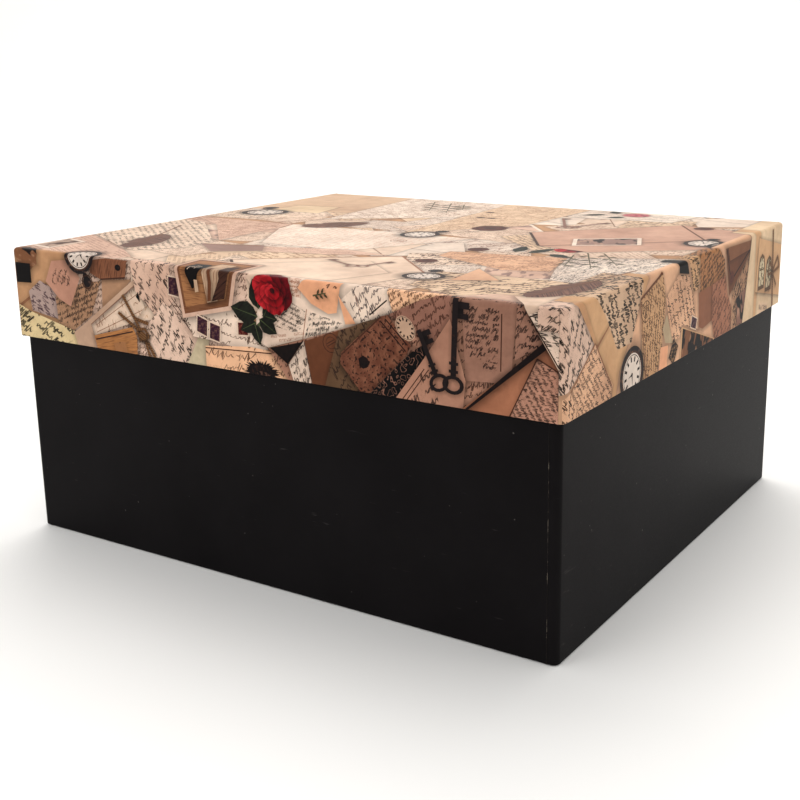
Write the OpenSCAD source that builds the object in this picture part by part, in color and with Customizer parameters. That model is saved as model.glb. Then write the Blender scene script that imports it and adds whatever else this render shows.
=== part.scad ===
// Gift box: a rigid board tray under a deep lift-off lid.
// The origin is the middle of the underside, +Z is up and +X runs along the wide front.
// The front faces -Y. All sizes are in millimetres.

/* [Lid] */
// Width of the lid, measured over its wrap along the front
lid_width = 350; // [160:1:500]
// Depth of the lid, measured over its wrap from front to back
lid_depth = 305; // [140:1:460]
// Height of the lid's skirt, from its lower edge to its top
lid_skirt = 51; // [35:1:100]

/* [Box] */
// Height of the closed box
box_height = 168; // [125:1:300]
// Gap on each side between the inside of the skirt and the outside of the tray
side_gap = 0.4; // [0.3:0.05:1.5]
// Gap between the underside of the closed lid and the rim of the tray
rest_gap = 0.3; // [0.2:0.05:1]

/* [Board and paper] */
// Thickness of the grey board
board = 2; // [1.5:0.1:2.8]
// Thickness of the wrap paper with its glue
wrap = 0.3; // [0.25:0.05:0.5]
// Thickness of the lining paper with its glue
lining = 0.2; // [0.1:0.05:0.3]
// Thickness of the tape that stays the corners, let into the glue of the wrap
tape = 0.1; // [0.05:0.05:0.15]

/* [Folds] */
// Radius of the upright corners, measured over the wrap
corner_radius = 3.5; // [3.2:0.1:8]
// How far the lid's wrap turns up inside its skirt
lid_turn_in = 22; // [10:1:28]
// How far the tray's wrap turns down inside its rim
rim_turn_in = 18; // [10:1:40]
// How far the tray's wrap turns under its bottom
bottom_turn_in = 16; // [10:1:40]
// Length of each leg of the corner tape, measured from the corner
stay_leg = 20; // [10:1:40]

/* [Hidden] */
$fn = 64;
eps = 0.5;             // how far a cutting solid runs past the face that it opens
lining_lap = 8;        // the lining's top edge stops this far below the rim
sheet_margin = 4;      // the bottom sheet stops this far inside the tray's outline
stay_margin = 3;       // the corner tape stops this far short of the board's ends

// Lid levels and outlines
skirt_z = box_height - lid_skirt;
lid_board_top = box_height - wrap;
lid_board_under = lid_board_top - board;
lid_ceiling = lid_board_under - lining;
lid_board_low = skirt_z + wrap;
edge_radius = 0.9 * board;

// Tray levels and outlines
overhang = wrap + board + wrap + side_gap;
tray_width = lid_width - 2 * overhang;
tray_depth = lid_depth - 2 * overhang;
rim_z = lid_ceiling - rest_gap;
tray_board_top = rim_z - wrap;
bottom_low = 2 * wrap;
bottom_high = bottom_low + board;

// A straight block centred on the Z axis, from level low to level high.
module block(width, depth, low, high) {
    translate([-width / 2, -depth / 2, low]) cube([width, depth, high - low]);
}

// A block with rounded upright corners.
module round_block(width, depth, radius, low, high) {
    translate([0, 0, low]) linear_extrude(high - low) union() {
        square([width - 2 * radius, depth], center = true);
        square([width, depth - 2 * radius], center = true);
        for (x = [-1, 1], y = [-1, 1])
            translate([x * (width / 2 - radius), y * (depth / 2 - radius)]) circle(radius);
    }
}

// The right half of a crowned block's section: upright side, round top edge.
module crown_half(half, height, edge) {
    square([half, height - edge]);
    square([half - edge, height]);
    translate([half - edge, height - edge]) intersection() {
        circle(edge);
        square(edge);
    }
}

// A round_block whose top edges are rounded too, as board creased along a fold.
module crowned_block(width, depth, radius, edge, low, high) {
    height = high - low;
    translate([0, 0, low]) union() {
        for (turn = [0, 180]) rotate([0, 0, turn]) {
            translate([width / 2 - radius, 0, 0]) rotate([90, 0, -90])
                linear_extrude(width - 2 * radius) crown_half(depth / 2, height, edge);
            translate([0, radius - depth / 2, 0]) rotate([90, 0, 180])
                linear_extrude(depth - 2 * radius) crown_half(width / 2, height, edge);
        }
        for (x = [0, 1], y = [0, 1]) mirror([x, 0, 0]) mirror([0, y, 0])
            translate([width / 2 - radius, depth / 2 - radius, 0])
                rotate_extrude(angle = 90) crown_half(radius, height, edge);
    }
}

// One upright wall board; side is "front", "back", "left" or "right".
// The front and back boards run the full width and the side boards fit between them.
module wall_board(side, width, depth, low, high) {
    turned = side == "left" || side == "right";
    sign = (side == "front" || side == "left") ? -1 : 1;
    intersection() {
        round_block(width - 2 * wrap, depth - 2 * wrap, corner_radius - wrap, low, high);
        if (turned)
            translate([sign * (width / 2 - wrap - board / 2), 0, 0])
                block(board, depth - 2 * wrap - 2 * board, low - eps, high + eps);
        else
            translate([0, sign * (depth / 2 - wrap - board / 2), 0])
                block(width, board, low - eps, high + eps);
    }
}

// Paper tape folded round the four upright corners, over the boards.
module corner_stays(width, depth, low, high) {
    outer = wrap - tape;
    intersection() {
        difference() {
            round_block(width - 2 * outer, depth - 2 * outer, corner_radius - outer, low, high);
            round_block(width - 2 * wrap, depth - 2 * wrap, corner_radius - wrap, low - eps, high + eps);
        }
        for (x = [-1, 1], y = [-1, 1])
            translate([x * (width / 2 - stay_leg / 2), y * (depth / 2 - stay_leg / 2), 0])
                block(stay_leg, stay_leg, low, high);
    }
}

// A band of paper on the inside of the wall boards.
module inner_band(width, depth, thickness, low, high) {
    inset = wrap + board;
    difference() {
        block(width - 2 * inset, depth - 2 * inset, low, high);
        block(width - 2 * (inset + thickness), depth - 2 * (inset + thickness), low - eps, high + eps);
    }
}

// ---- tray ----

module base_bottom_board() {
    color("#8f8878")
        round_block(tray_width - 2 * wrap, tray_depth - 2 * wrap, corner_radius - wrap, bottom_low, bottom_high);
}

module base_wall(side) {
    color("#8f8878") wall_board(side, tray_width, tray_depth, bottom_high, tray_board_top);
}

module base_corner_stays() {
    color("#c9b98f")
        corner_stays(tray_width, tray_depth, bottom_high + stay_margin, tray_board_top - stay_margin);
}

module base_wrap() {
    inner = 2 * (2 * wrap + board);
    color("#1d1b1b") difference() {
        union() {
            difference() {
                round_block(tray_width, tray_depth, corner_radius, wrap, rim_z);
                round_block(tray_width - 2 * wrap, tray_depth - 2 * wrap, corner_radius - wrap,
                            bottom_low, tray_board_top);
                block(tray_width - inner, tray_depth - inner, tray_board_top - eps, rim_z + eps);
                block(tray_width - 2 * bottom_turn_in, tray_depth - 2 * bottom_turn_in,
                      wrap - eps, bottom_low + eps);
            }
            inner_band(tray_width, tray_depth, wrap, rim_z - rim_turn_in, rim_z);
        }
        corner_stays(tray_width, tray_depth, bottom_high + stay_margin, tray_board_top - stay_margin);
    }
}

module base_bottom_sheet() {
    color("#232121") block(tray_width - 2 * sheet_margin, tray_depth - 2 * sheet_margin, 0, wrap);
}

module base_wall_lining() {
    color("#d9ceb4") difference() {
        inner_band(tray_width, tray_depth, wrap + lining, bottom_high + lining, rim_z - lining_lap);
        inner_band(tray_width, tray_depth, wrap, rim_z - rim_turn_in, rim_z);
    }
}

module base_floor_lining() {
    inset = wrap + board;
    color("#d9ceb4") block(tray_width - 2 * inset, tray_depth - 2 * inset, bottom_high, bottom_high + lining);
}

// ---- lid ----

module lid_top_board() {
    color("#8f8878")
        crowned_block(lid_width - 2 * wrap, lid_depth - 2 * wrap, corner_radius - wrap, edge_radius,
                      lid_board_under, lid_board_top);
}

module lid_wall(side) {
    color("#8f8878") wall_board(side, lid_width, lid_depth, lid_board_low, lid_board_under);
}

module lid_corner_stays() {
    color("#c9b98f")
        corner_stays(lid_width, lid_depth, lid_board_low + stay_margin, lid_board_under - stay_margin);
}

module lid_wrap() {
    inner = 2 * (2 * wrap + board);
    color("#c8ab86") difference() {
        union() {
            difference() {
                crowned_block(lid_width, lid_depth, corner_radius, edge_radius + wrap, skirt_z, box_height);
                crowned_block(lid_width - 2 * wrap, lid_depth - 2 * wrap, corner_radius - wrap, edge_radius,
                              lid_board_low, lid_board_top);
                block(lid_width - inner, lid_depth - inner, skirt_z - eps, lid_board_low + eps);
            }
            inner_band(lid_width, lid_depth, wrap, skirt_z, skirt_z + lid_turn_in);
        }
        corner_stays(lid_width, lid_depth, lid_board_low + stay_margin, lid_board_under - stay_margin);
    }
}

module lid_lining() {
    inset = wrap + board;
    color("#d9ceb4") union() {
        block(lid_width - 2 * inset, lid_depth - 2 * inset, lid_ceiling, lid_board_under);
        inner_band(lid_width, lid_depth, lining, skirt_z + lid_turn_in, lid_board_under);
    }
}

base_bottom_board();
base_wall("front");  // base_front_board
base_wall("back");  // base_back_board
base_wall("left");  // base_left_board
base_wall("right");  // base_right_board
base_corner_stays();
base_wrap();
base_bottom_sheet();
base_wall_lining();
base_floor_lining();
lid_top_board();
lid_wall("front");  // lid_front_board
lid_wall("back");  // lid_back_board
lid_wall("left");  // lid_left_board
lid_wall("right");  // lid_right_board
lid_corner_stays();
lid_wrap();
lid_lining();
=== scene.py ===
"""Looks of the gift box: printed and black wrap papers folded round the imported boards."""
import math
import random

import bpy
import numpy as np
from mathutils import Matrix, Vector, geometry


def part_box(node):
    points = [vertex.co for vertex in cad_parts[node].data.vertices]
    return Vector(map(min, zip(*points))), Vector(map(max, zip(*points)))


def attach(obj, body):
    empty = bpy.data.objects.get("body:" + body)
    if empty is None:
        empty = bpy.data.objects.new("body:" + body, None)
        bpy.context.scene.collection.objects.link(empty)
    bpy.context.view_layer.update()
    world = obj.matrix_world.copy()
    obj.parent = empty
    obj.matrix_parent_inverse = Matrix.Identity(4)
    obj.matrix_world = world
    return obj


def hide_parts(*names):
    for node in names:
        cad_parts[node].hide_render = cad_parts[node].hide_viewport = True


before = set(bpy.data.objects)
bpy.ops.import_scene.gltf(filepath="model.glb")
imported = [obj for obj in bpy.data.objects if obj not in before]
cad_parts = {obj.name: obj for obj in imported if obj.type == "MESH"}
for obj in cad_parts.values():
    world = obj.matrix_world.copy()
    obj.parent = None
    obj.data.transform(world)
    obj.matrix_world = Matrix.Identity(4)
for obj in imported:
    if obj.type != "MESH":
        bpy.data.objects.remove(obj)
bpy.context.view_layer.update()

MM = 0.001
TINY = 1e-9             # keeps a division from meeting zero

# ---------------------------------------------------------------- sizes, in millimetres


def node_size(node):
    """A CAD node's half width, half depth, lowest and highest level."""
    low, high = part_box(node)
    return high[0] / MM, high[1] / MM, low[2] / MM, high[2] / MM


LID_X, LID_Y, SKIRT_Z, LID_TOP = node_size("lid_wrap")
TRAY_X, TRAY_Y, TRAY_LOW, RIM_Z = node_size("base_wrap")
CORNER = 3.5            # radius of the upright corners
CORNER_ARC = CORNER * math.pi / 2
TOP_FOLD = 2.1          # radius of the fold round the lid's top edges
SOFT_FOLD = 0.6         # radius of the folds over a board's edge
UNDER_FOLD = 0.9        # radius of the fold under the tray
PAPER = 0.25            # thickness of a wrap paper
WALL = 2.6              # from the outside of a wrapped wall to its inside
LID_TURN_IN = 22.0      # the lid's wrap turns up inside the skirt
RIM_TURN_IN = 18.0      # the tray's wrap turns down inside the rim
UNDER_START = 3.4       # the side sheets end this far in under the tray,
UNDER_TURN_IN = 16.0    # and the turn-in under the bottom goes on to here
LID_SEAM = 0.8          # the upper sheet of a lap ends this far past the side's straight part
TRAY_SEAM = -1.9        # and on the tray this far short of it
LAP_OVER = (0.15, 1.5, 1.0)     # how far the upper sheet of a lap rises, how long before its edge
LAP_UNDER = (-0.13, 0.6, 0.5)   # that starts and over what run; and the same for the lower sheet,
LAP_UNDER_RUN = 1.0             # which goes on this far below the upper one
NICK_LIFT = 0.06        # the worn spot stands this proud of the tray's side
GRID = 15               # a flat stretch of paper is divided this often
CORNER_STEPS = 6        # flats round an upright corner
EDGE_RUN = 1.2          # from where the top fold starts to the line called the lid's top edge
WHOLE = [(-240, -220), (240, -220), (240, 220), (-240, 220)]    # more than a whole flat sheet
FLAT_X = LID_X - TOP_FOLD
FLAT_Y = LID_Y - TOP_FOLD

# ---------------------------------------------------------------- camera


def add_camera():
    """The camera stands in front of the near corner, a little above the lid."""
    eye = Vector((398.0, -604.0, 273.7)) * MM
    yaw, pitch, roll = math.radians(32.33), math.radians(14.22), math.radians(0.62)
    data = bpy.data.cameras.new("camera")
    data.sensor_width = 36.0
    data.lens = 54.9
    data.shift_x = -0.0492
    data.shift_y = -0.05
    data.clip_start = 0.01
    camera = bpy.data.objects.new("camera", data)
    bpy.context.collection.objects.link(camera)
    turn = Matrix.Rotation(yaw, 4, "Z") @ Matrix.Rotation(math.pi / 2 - pitch, 4, "X")
    camera.matrix_world = Matrix.Translation(eye) @ turn @ Matrix.Rotation(-roll, 4, "Z")
    bpy.context.scene.camera = camera


add_camera()

# ---------------------------------------------------------------- colours


def linear(code):
    """The linear colour of a hex code such as e8d2b0."""
    parts = [int(code[i:i + 2], 16) / 255 for i in (0, 2, 4)]
    return tuple(p / 12.92 if p <= 0.04045 else ((p + 0.055) / 1.055) ** 2.4 for p in parts)


TONES = {
    "white": "e9d8c9", "cream": "e0c3a6", "yellow": "dfca9c", "rosy": "d9b6a2", "peach": "deb190",
    "orange": "e8aa84", "honey": "c9a078", "tan": "be926c", "kraft": "a8764e", "clay": "a26e55",
    "wood": "bd8350", "brown": "6a402a", "umber": "45291f", "dusk": "886254", "mauve": "96786e",
    "grey": "ab9383", "lilac": "ac968f", "sage": "b8a486", "moss": "5d543b", "night": "120d0e",
    "plum": "35182a", "ink": "241715", "blue_ink": "2c2430", "brown_ink": "4a2c1c",
    "black": "0c0909", "red": "a5101c", "deep_red": "4d070f", "green": "1d2219", "dial": "e4d8ce",
    "steel": "1f191a", "twine": "7d5836", "seal": "5a3026", "shade": "8b5f45", "sand": "dfc5a4",
    "leaf_light": "4b5638", "pink": "d8808a", "dark_letter": "93695a", "dark_peach": "b0836e",
    "terracotta": "a76f54", "leather": "7a5036", "rosy_clay": "bd8d78", "pale": "e6cdb8",
    "sepia": "8a6240", "fawn": "ad8669", "putty": "c4a48c", "blush": "e2c3b0", "shell": "f2dcca",
    "linen": "cdae92", "apricot": "f6c49e", "dusty": "9b7362", "rust": "88583f",
    "dark_rust": "633a2b", "olive": "614935", "rose_tan": "c89f8a", "pale_sage": "cbbd9f",
    "crimson": "6d0914", "bright_red": "c8242e",
}
TONES = {name: linear(code) for name, code in TONES.items()}

# ---------------------------------------------------------------- shaders


class Wire:
    """What comes out of a node; arithmetic on it adds Math nodes."""

    def __init__(self, shader, socket):
        self.shader, self.socket = shader, socket

    def __add__(self, other):
        return self.shader.math("ADD", self, other)

    def __sub__(self, other):
        return self.shader.math("SUBTRACT", self, other)

    def __mul__(self, other):
        return self.shader.math("MULTIPLY", self, other)

    def __truediv__(self, other):
        return self.shader.math("DIVIDE", self, other)

    def __gt__(self, other):
        return self.shader.math("GREATER_THAN", self, other)

    def __lt__(self, other):
        return self.shader.math("LESS_THAN", self, other)

    def __abs__(self):
        return self.shader.math("ABSOLUTE", self)


class Shader:
    """A node material with short ways to add its nodes."""

    def __init__(self, name):
        self.material = bpy.data.materials.new(name)
        self.material.use_nodes = True
        self.tree = self.material.node_tree
        self.surface = self.tree.nodes["Principled BSDF"]

    def feed(self, slot, value):
        if isinstance(value, Wire):
            self.tree.links.new(value.socket, slot)
        elif value is not None:
            slot.default_value = value

    def node(self, kind, *inputs, **settings):
        made = self.tree.nodes.new("ShaderNode" + kind)
        for key, value in settings.items():
            setattr(made, key, value)
        for slot, value in zip(made.inputs, inputs):
            self.feed(slot, value)
        return made

    def out(self, kind, *inputs, **settings):
        return Wire(self, self.node(kind, *inputs, **settings).outputs[0])

    def math(self, operation, a, b=None):
        return self.out("Math", a, b, operation=operation)

    def floor(self, a):
        return self.math("FLOOR", a)

    def fract(self, a):
        return self.math("FRACT", a)

    def sine(self, a):
        return self.math("SINE", a)

    def vector(self, operation, a, b):
        return self.out("VectorMath", a, b, operation=operation)

    def step(self, value, low, high):
        """0 below low, 1 above high, smooth between; low may be the larger."""
        return self.out("MapRange", value, low, high, 0.0, 1.0, interpolation_type="SMOOTHSTEP")

    def span(self, value, low, high, to_low, to_high):
        return self.out("MapRange", value, low, high, to_low, to_high)

    def spread(self, noise, to_low=0.0, to_high=1.0):
        """Noise lies mostly between 0.3 and 0.7; this stretches it."""
        return self.span(noise, 0.3, 0.7, to_low, to_high)

    def blend(self, share, a, b, mode="MIX"):
        made = self.node("Mix", share, data_type="RGBA", blend_type=mode)
        for slot, colour in zip(made.inputs[6:8], (a, b)):
            self.feed(slot, colour + (1.0,) if isinstance(colour, tuple) else colour)
        return Wire(self, made.outputs[2])

    def noise(self, place, scale, detail=2.0, roughness=0.5):
        made = self.node("TexNoise")
        for key, value in (("Vector", place), ("Scale", scale), ("Detail", detail),
                           ("Roughness", roughness)):
            self.feed(made.inputs[key], value)
        return Wire(self, made.outputs[0])

    def pair(self, x, y, z=0.0):
        return self.out("CombineXYZ", x, y, z)

    def random(self, x, y):
        return self.out("TexWhiteNoise", self.pair(x, y), noise_dimensions="2D")

    def parts(self, vector):
        return [Wire(self, socket) for socket in self.node("SeparateXYZ", vector).outputs]

    def value(self, name, output="Vector"):
        return Wire(self, self.node("Attribute", attribute_name=name).outputs[output])

    def place(self):
        return Wire(self, self.node("TexCoord").outputs["Object"])

    def finish(self, colour, roughness, specular=None, height=None, strength=0.0, distance=0.0):
        """Joins up the surface, with a bump of some strength and distance (m) if there is a height."""
        for key, value in (("Base Color", colour), ("Roughness", roughness),
                           ("Specular IOR Level", specular)):
            self.feed(self.surface.inputs[key], value)
        if height:
            bump = self.node("Bump")
            for key, value in (("Strength", strength), ("Distance", distance), ("Height", height)):
                self.feed(bump.inputs[key], value)
            self.feed(self.surface.inputs["Normal"], Wire(self, bump.outputs[0]))
        return self.material


def writing(sh, art, hand):
    """Where the ink of an illegible hand lies: 0 to 1."""
    u, v, _ = sh.parts(art)
    pitch, weight, seed = sh.parts(hand)
    row = v / pitch
    line = sh.floor(row)
    rise = line + 0.5 - row
    own = sh.random(line, seed)
    slanted = u / pitch + rise * -0.5 + own * 40.0
    place = sh.pair(slanted, own * 91.0, seed)
    # the pen's path: a wave of uneven height on a line that drifts
    drift = sh.noise(place, 0.7, 0.0) - 0.5
    jitter = sh.noise(place, 2.6, 0.0) - 0.5
    height = sh.step(sh.noise(place, 2.1, 0.0), 0.52, 0.66) * 0.20 + 0.10
    phase = slanted * 12.0 + jitter * 7.0
    slope = sh.math("COSINE", phase) * (height * 14.0)
    steep = sh.math("SQRT", slope * slope + 1.0)
    level = drift * 0.35 + rise
    gap = abs(level - sh.sine(phase) * height) / steep
    stroke = weight / pitch * 1.45
    swell = stroke * sh.span(steep, 1.0, 2.6, 0.30, 0.70)
    script = sh.step(gap, swell, swell * 0.55)
    # tall strokes and tails, some above the line and some below it
    letter = slanted * 1.45
    cell = sh.floor(letter)
    tall = sh.step(abs(letter - cell - 0.5), stroke * 0.95, stroke * 0.45)
    draw = sh.random(cell, own + seed)
    above = (draw > 0.70) * (level > 0.0)
    below = (draw < 0.18) * (level < 0.0)
    tall = tall * (above + below) * sh.step(abs(level), 0.50, 0.42)
    # gaps between words, and a pen that runs dry
    word = sh.step(sh.noise(place, 0.75, 1.0), 0.41, 0.45)
    press = sh.span(sh.noise(place, 1.3, 1.0), 0.3, 0.62, 0.78, 1.0)
    return sh.math("MAXIMUM", script, tall) * word * press


def type_lines(sh, art, hand):
    """Rows of small printed marks that spell nothing."""
    u, v, _ = sh.parts(art)
    pitch, _, seed = sh.parts(hand)
    line = sh.floor(v / pitch)
    rise = sh.fract(v / pitch) - 0.5
    letter = u / (pitch * 0.42) + sh.random(line, seed)
    within = sh.fract(letter) - 0.5
    spot = sh.random(sh.floor(letter * 3.0), line * 7.0 + sh.floor((rise + 0.5) * 6.0))
    body = (abs(rise) < 0.3) * (abs(within) < 0.36)
    word = sh.random(sh.floor(sh.floor(letter) / 5.0), line) > 0.3
    return body * (spot > 0.38) * word


def pattern_written(sh, art, hand, tone, ink):
    return sh.blend(writing(sh, art, hand), tone, ink)


def pattern_typed(sh, art, hand, tone, ink):
    return sh.blend(type_lines(sh, art, hand) * 0.75, tone, ink)


def pattern_plain(sh, art, hand, tone, ink):
    fibre = sh.noise(art, 0.35, 3.0, 0.6)
    return sh.blend(sh.span(fibre, 0.35, 0.75, 0.0, 0.16), tone, ink)


def pattern_photo(sh, art, hand, tone, ink):
    """A faded old picture: soft dark masses that stand upright on a brown ground."""
    seed = sh.parts(hand)[2]
    place = sh.vector("ADD", art, sh.pair(seed, seed, seed))
    drawn = sh.vector("MULTIPLY", place, (1.0, 0.45, 1.0))
    mass = sh.step(sh.noise(drawn, 0.17), 0.50, 0.58)
    light = sh.step(sh.noise(drawn, 0.24), 0.55, 0.72)
    grain = sh.spread(sh.noise(place, 1.2, 3.0), -0.10, 0.14)
    return sh.blend(mass + grain, sh.blend(light * 0.35, tone, TONES["peach"]), ink)


def pattern_speckled(sh, art, hand, tone, ink):
    spots = sh.step(sh.noise(art, 0.62, 1.0), 0.57, 0.62)
    cloud = sh.step(sh.noise(art, 0.16, 3.0, 0.6), 0.35, 0.7)
    return sh.blend(spots * 0.85, sh.blend(cloud * 0.5, tone, TONES["clay"]), ink)


def pattern_floral(sh, art, hand, tone, ink):
    """Fine pale outlines of petals on a dark ground."""
    edge = abs(sh.fract(sh.noise(art, 0.22, 1.5) * 6.0) - 0.5)
    return sh.blend(sh.step(edge, 0.10, 0.03), tone, ink)


def pattern_wood(sh, art, hand, tone, ink):
    grain = sh.noise(sh.vector("MULTIPLY", art, (0.08, 1.0, 1.0)), 1.1, 3.0, 0.6)
    return sh.blend(sh.step(grain, 0.42, 0.75), tone, ink)


def pattern_feather(sh, art, hand, tone, ink):
    """Barbs that slant back from the shaft, which runs along u."""
    u, v, _ = sh.parts(art)
    away = abs(v)
    barb = sh.noise(sh.pair(u * 1.4 - away * 1.3, away * 0.06), 1.0)
    vane = sh.blend(sh.step(barb, 0.35, 0.65), tone, ink)
    return sh.blend(sh.step(away, 0.7, 0.3) * 0.6, vane, TONES["leather"])


def pattern_twine(sh, art, hand, tone, ink):
    u, v, _ = sh.parts(art)
    twist = sh.sine(u * 4.2 + v * 2.6)
    return sh.blend(sh.span(twist, -1.0, 1.0, 0.0, 0.75), tone, ink)


def pattern_metal(sh, art, hand, tone, ink):
    """Dark old metal with a soft glint along it."""
    return sh.blend(sh.step(sh.noise(art, 0.30, 1.0), 0.58, 0.75) * 0.35, tone, ink)


def pattern_petal(sh, art, hand, tone, ink):
    u, v, _ = sh.parts(art)
    folds = sh.noise(sh.pair(u * 0.25, v), 0.55)
    return sh.blend(sh.step(folds, 0.35, 0.75), tone, ink)


def pattern_stamp(sh, art, hand, tone, ink):
    """A small engraved picture of nothing in particular."""
    cloud = sh.step(sh.noise(art, 0.5, 3.0, 0.65), 0.45, 0.62)
    fine = sh.sine(sh.parts(art)[1] * 9.0)
    return sh.blend(cloud * sh.span(fine, -1.0, 1.0, 0.45, 1.0) * 0.6, tone, ink)


def pattern_floret(sh, art, hand, tone, ink):
    """Blots such as the leaves of pressed flowers."""
    return sh.blend(sh.step(sh.noise(art, 0.33, 2.0, 0.6), 0.50, 0.57), tone, ink)


PATTERNS = {
    "written": pattern_written, "typed": pattern_typed, "plain": pattern_plain,
    "photo": pattern_photo, "speckled": pattern_speckled, "floral": pattern_floral,
    "wood": pattern_wood, "feather": pattern_feather, "twine": pattern_twine,
    "metal": pattern_metal, "petal": pattern_petal, "stamp": pattern_stamp,
    "floret": pattern_floret,
}


def print_material(style):
    """Printed art paper: the pattern of one kind of picture, aged, under a satin varnish."""
    sh = Shader("print_" + style)
    sheet = sh.value("sheet")
    drawn = PATTERNS[style](sh, *(sh.value(key) for key in ("art", "hand", "tone", "ink")))
    stain = sh.span(sh.noise(sheet, 0.022, 4.0, 0.6), 0.35, 0.70, 0.0, 0.36)
    aged = sh.blend(stain, drawn, TONES["shade"], "MULTIPLY")
    aged = sh.blend(1.0, aged, (0.97, 0.94, 0.90), "MULTIPLY")
    mottle = sh.spread(sh.noise(sheet, 0.13, 4.0, 0.65), 0.88, 1.06)
    light = sh.value("shade", "Fac") * mottle
    shaded = sh.out("VectorMath", aged, None, None, light, operation="SCALE")
    fibre = sh.noise(sheet, 2.2, 3.0, 0.7)
    return sh.finish(shaded, sh.spread(fibre, 0.40, 0.50), 0.05, fibre, 0.12, 0.00006)


def plain_paper(name, code, deep, roughness):
    """Unprinted paper: fibre, faint clouding and a soft tooth."""
    sh = Shader(name)
    place = sh.place()
    cloud = sh.spread(sh.noise(place, 22.0, 4.0, 0.6))
    fibre = sh.noise(place, 1500.0, 3.0, 0.7)
    return sh.finish(sh.blend(cloud, linear(code), linear(deep)),
                     sh.spread(fibre, roughness - 0.05, roughness + 0.05), None, fibre, 0.25, 0.00005)


def cut_edge():
    """The cut edge of a wrap paper: pale core, with the colour rubbed over it here and there."""
    sh = Shader("paper_core")
    worn = sh.step(sh.noise(sh.place(), 160.0, 3.0, 0.7), 0.50, 0.66)
    return sh.finish(sh.blend(worn, linear("2e2622"), linear("b9ab98")), 0.8)


def board_material():
    """Grey board: recycled fibre with dark flecks."""
    sh = Shader("grey_board")
    place = sh.place()
    cloud = sh.spread(sh.noise(place, 60.0, 5.0, 0.65))
    base = sh.blend(cloud, linear("9c9484"), linear("7f7768"))
    fleck = sh.step(sh.noise(place, 900.0, 2.0, 0.6), 0.64, 0.70)
    return sh.finish(sh.blend(fleck * 0.5, base, linear("4a4438")), 0.85, None,
                     sh.noise(place, 700.0, 4.0, 0.7), 0.35, 0.0001)


def black_paper():
    """Satin black paper: fine grain, faint rubbed marks, a little dust."""
    sh = Shader("black_paper")
    place = sh.place()
    cloud = sh.spread(sh.noise(place, 14.0, 4.0, 0.6))
    base = sh.blend(cloud, linear("0e0c0d"), linear("141213"))
    long = sh.vector("MULTIPLY", place, (40.0, 40.0, 260.0))
    scuff = sh.step(sh.noise(long, 1.0, 3.0, 0.7), 0.66, 0.76)
    base = sh.blend(scuff * 0.12, base, linear("8a8480"))
    dust = sh.step(sh.noise(place, 420.0, 1.0), 0.80, 0.83)
    base = sh.blend(dust * 0.18, base, linear("b8b0a8"))
    grain = sh.noise(place, 1300.0, 3.0, 0.7)
    return sh.finish(base, sh.spread(grain, 0.36, 0.46) + scuff * 0.08, 0.03, grain, 0.2, 0.00005)


# ---------------------------------------------------------------- pictures on the printed sheet
# The printed paper is one flat sheet before it is folded. The lid's top is its middle, in the
# frame's own x and y; each skirt follows on beyond the fold. Sizes are in millimetres.


class Shape:
    """An outline, and the outlines of the holes in it."""

    def __init__(self, loops):
        self.loops = [np.array(loop, float) for loop in loops]

    def inside(self, points):
        """Which points lie inside, by the even-odd rule."""
        hit = np.zeros(len(points), bool)
        for loop in self.loops:
            for (ax, ay), (bx, by) in zip(loop, np.roll(loop, -1, 0)):
                if ay == by:
                    continue
                crosses = (points[:, 1] >= min(ay, by)) & (points[:, 1] < max(ay, by))
                x = ax + (points[:, 1] - ay) * (bx - ax) / (by - ay)
                hit ^= crosses & (x > points[:, 0])
        return hit


class Item(Shape):
    """One flat thing on the sheet: its outline, the pattern that fills it and its soft shadow."""

    def __init__(self, loops, style, tone, ink="brown_ink", pitch=3.2, weight=0.7,
                 turn=0.0, shadow=0.42, reach=3.0, seed=0.0):
        super().__init__(loops)
        self.style, self.tone, self.ink = style, TONES[tone], TONES[ink]
        self.shadow, self.reach = shadow, reach
        self.hand = (pitch, weight, seed)
        edge = self.loops[0][1] - self.loops[0][0]
        angle = math.atan2(edge[1], edge[0]) + math.radians(turn)
        self.origin = self.loops[0][0]
        self.along = np.array([math.cos(angle), math.sin(angle)])
        self.down = np.array([math.sin(angle), -math.cos(angle)])

    def distance(self, points):
        """Distance from each point to the outline, zero inside."""
        best = np.full(len(points), np.inf)
        for loop in self.loops:
            for a, b in zip(loop, np.roll(loop, -1, 0)):
                run = b - a
                share = np.clip(((points - a) @ run) / max(run @ run, TINY), 0, 1)
                best = np.minimum(best, np.hypot(*(points - a - share[:, None] * run).T))
        best[self.inside(points)] = 0
        return best

    def ring(self):
        """The outline grown to just past the reach of the shadow, with long corners held back."""
        loop = self.loops[0]
        before, after = np.roll(loop, 1, 0), np.roll(loop, -1, 0)
        turned = np.array([[0, -1], [1, 0]])
        area = np.sum(loop[:, 0] * after[:, 1] - loop[:, 1] * after[:, 0])
        sign = 1 if area > 0 else -1
        first, second = (loop - before) @ turned.T * -sign, (after - loop) @ turned.T * -sign
        first /= np.maximum(np.hypot(*first.T)[:, None], TINY)
        second /= np.maximum(np.hypot(*second.T)[:, None], TINY)
        both = first + second
        both /= np.maximum(np.hypot(*both.T)[:, None], 0.7)
        return loop + both * self.reach * 1.15


ITEMS = []
DROP = np.array([0.5, -0.6])      # printed shadows fall a little to one side
SEED_STEP, SEED_RANGE = 7.31, 50  # each thing's seed follows from its turn in the pile


def add(points, style, tone, ink, **settings):
    """Lays one thing on top of all the others."""
    ITEMS.append(Item([points], style, tone, ink, seed=(len(ITEMS) * SEED_STEP) % SEED_RANGE,
                      **settings))
    return ITEMS[-1]


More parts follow.
